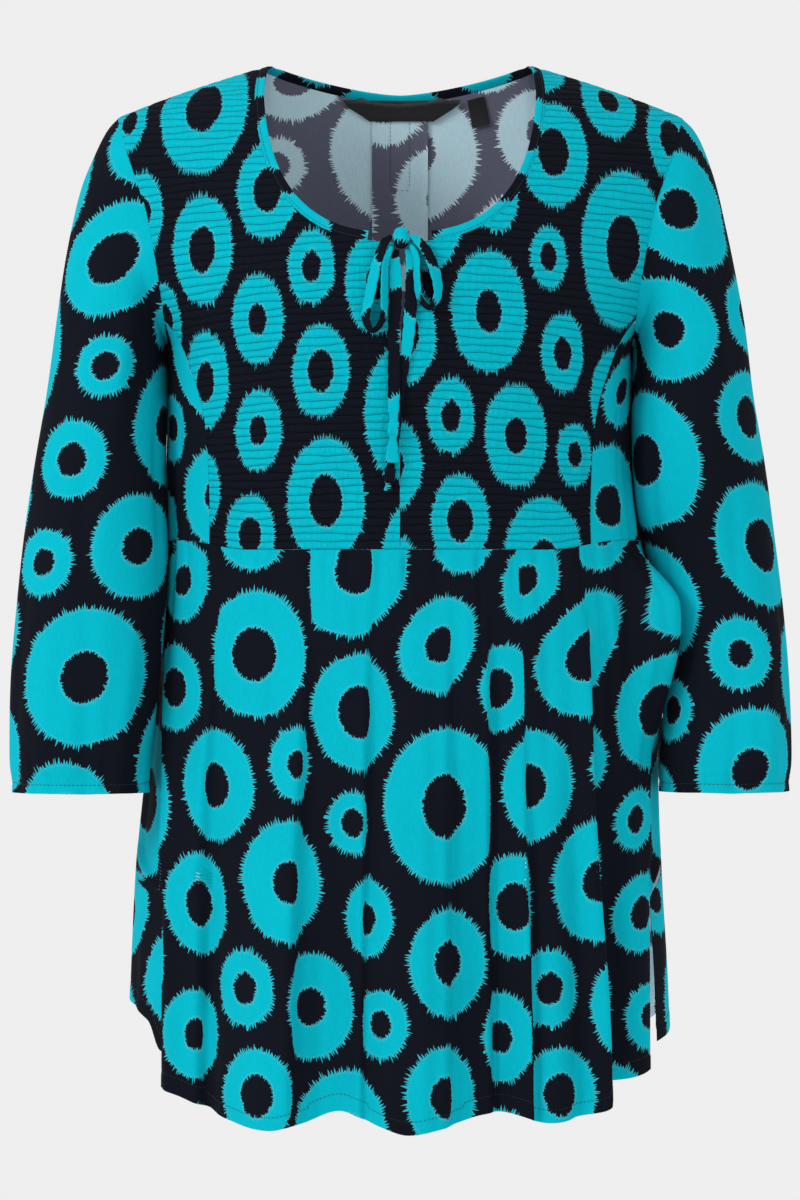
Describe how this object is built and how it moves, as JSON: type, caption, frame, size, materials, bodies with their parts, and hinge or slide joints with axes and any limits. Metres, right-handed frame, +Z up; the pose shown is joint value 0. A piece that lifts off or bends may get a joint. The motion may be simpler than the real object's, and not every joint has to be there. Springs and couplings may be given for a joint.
{
  "type": "smock blouse",
  "caption": "Worn-form smock blouse with a shirred front yoke, tied neck slit, three-quarter sleeves, gathered skirt, side vents and a curved hem, open at neck, hem and cuffs.",
  "frame": {"origin": "where the wearer holds the blouse up: midway between the two neck points, at their height and in the plane of the shoulder and side seams", "axes": "+Z up along the standing wearer, +X to the right as seen from the front, -Y towards the front"},
  "size_m": [0.5808, 0.2774, 0.7859],
  "materials": {
    "smocked cloth": "crinkled viscose drawn in by rows of elastic thread, matt",
    "printed cloth": "soft viscose crepe with a turquoise ring print on a blue-black ground, matt",
    "dark printed cloth": "the same cloth where its dark ground shows, matt",
    "label": "black woven satin ribbon, blank"
  },
  "bodies": {
    "root": {"yoke_left": "smocked cloth", "yoke_right": "smocked cloth", "side_panel_left": "printed cloth", "side_panel_right": "printed cloth", "front_skirt": "printed cloth", "back": "printed cloth", "box_pleat": "printed cloth", "sleeve_left": "printed cloth", "sleeve_right": "printed cloth", "neck_binding": "smocked cloth", "bow_knot": "dark printed cloth", "bow_loop_left": "smocked cloth", "bow_loop_right": "smocked cloth", "tie_tail_left": "smocked cloth", "tie_tail_right": "smocked cloth", "neck_label": "label", "size_tag": "label"}
  },
  "joints": []
}
